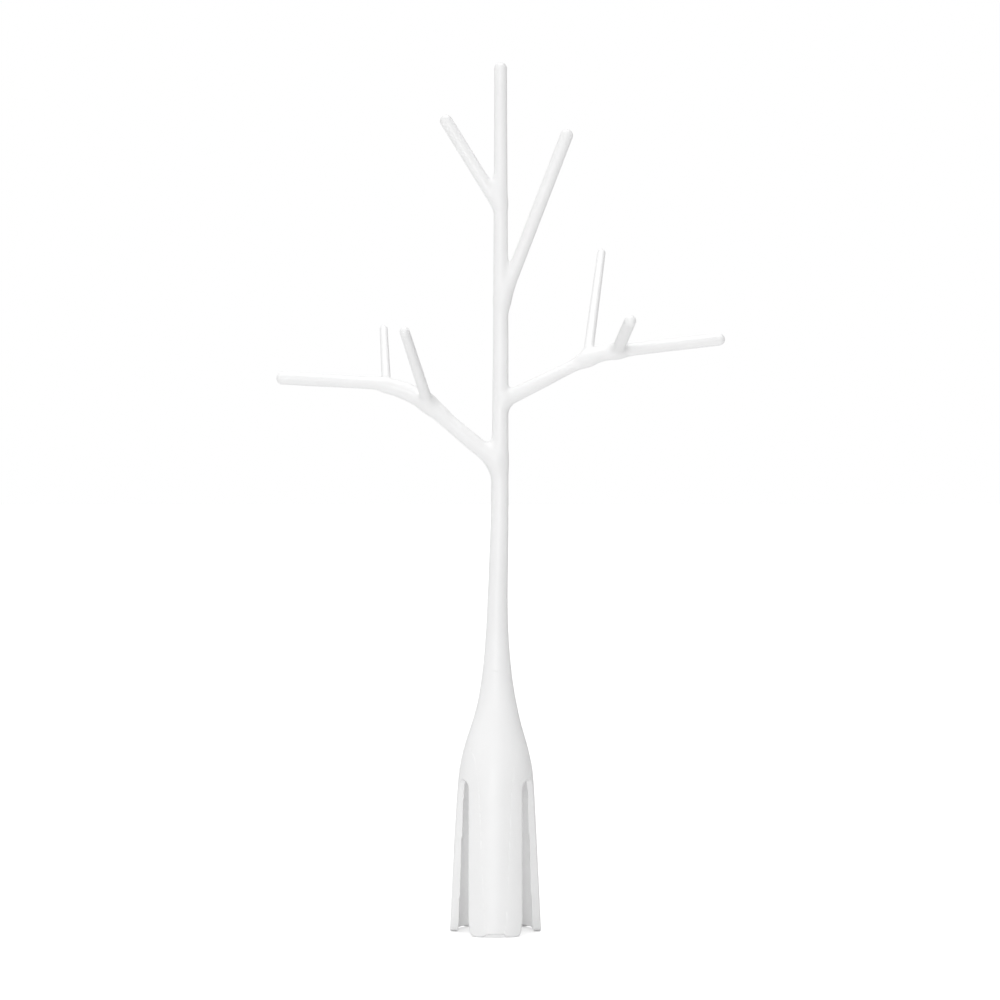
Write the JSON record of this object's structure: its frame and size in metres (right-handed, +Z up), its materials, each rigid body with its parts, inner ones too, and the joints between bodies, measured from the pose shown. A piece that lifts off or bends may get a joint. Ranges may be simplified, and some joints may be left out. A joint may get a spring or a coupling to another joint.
{
  "type": "bottle drying rack",
  "caption": "Slender tree of round-ended pegs on a hollow slotted base that plugs into a drying rack and holds small bottle parts to dry.",
  "frame": {"origin": "centre of the hollow base, on the plane of the three prongs' feet", "axes": "+Z up the trunk, +X towards the right-hand bough, +Y towards the back"},
  "size_m": [0.1548, 0.0787, 0.2997],
  "materials": {
    "white_moulding": "satin white injection-moulded plastic"
  },
  "bodies": {
    "tree": {"base_bell": "white_moulding", "prong_root_front": "white_moulding", "prong_root_right": "white_moulding", "prong_root_left": "white_moulding", "lower_trunk": "white_moulding", "middle_trunk": "white_moulding", "upper_trunk": "white_moulding", "leader_peg": "white_moulding", "left_bough": "white_moulding", "left_outer_peg": "white_moulding", "left_front_peg": "white_moulding", "left_back_peg": "white_moulding", "upper_left_peg": "white_moulding", "right_bough": "white_moulding", "right_outer_peg": "white_moulding", "right_front_peg": "white_moulding", "right_back_peg": "white_moulding", "upper_right_peg": "white_moulding"},
    "prong_front": {"prong_front": "white_moulding"},
    "prong_right": {"prong_right": "white_moulding"},
    "prong_left": {"prong_left": "white_moulding"}
  },
  "joints": [
    {"name": "prong_front_flex", "type": "hinge", "parent": "tree", "child": "prong_front", "pos_m": [0, -0.01095, 0.047], "axis": [1, 0, 0], "range_deg": [-3, 4], "stiffness_Nm_per_rad": 4.4, "deforming": ["prong_root_front"]},
    {"name": "prong_right_flex", "type": "hinge", "parent": "tree", "child": "prong_right", "pos_m": [0.00948, 0.00547, 0.047], "axis": [-0.5, 0.866, 0], "range_deg": [-3, 4], "stiffness_Nm_per_rad": 4.4, "deforming": ["prong_root_right"]},
    {"name": "prong_left_flex", "type": "hinge", "parent": "tree", "child": "prong_left", "pos_m": [-0.00948, 0.00547, 0.047], "axis": [-0.5, -0.866, 0], "range_deg": [-3, 4], "stiffness_Nm_per_rad": 4.4, "deforming": ["prong_root_left"]}
  ]
}
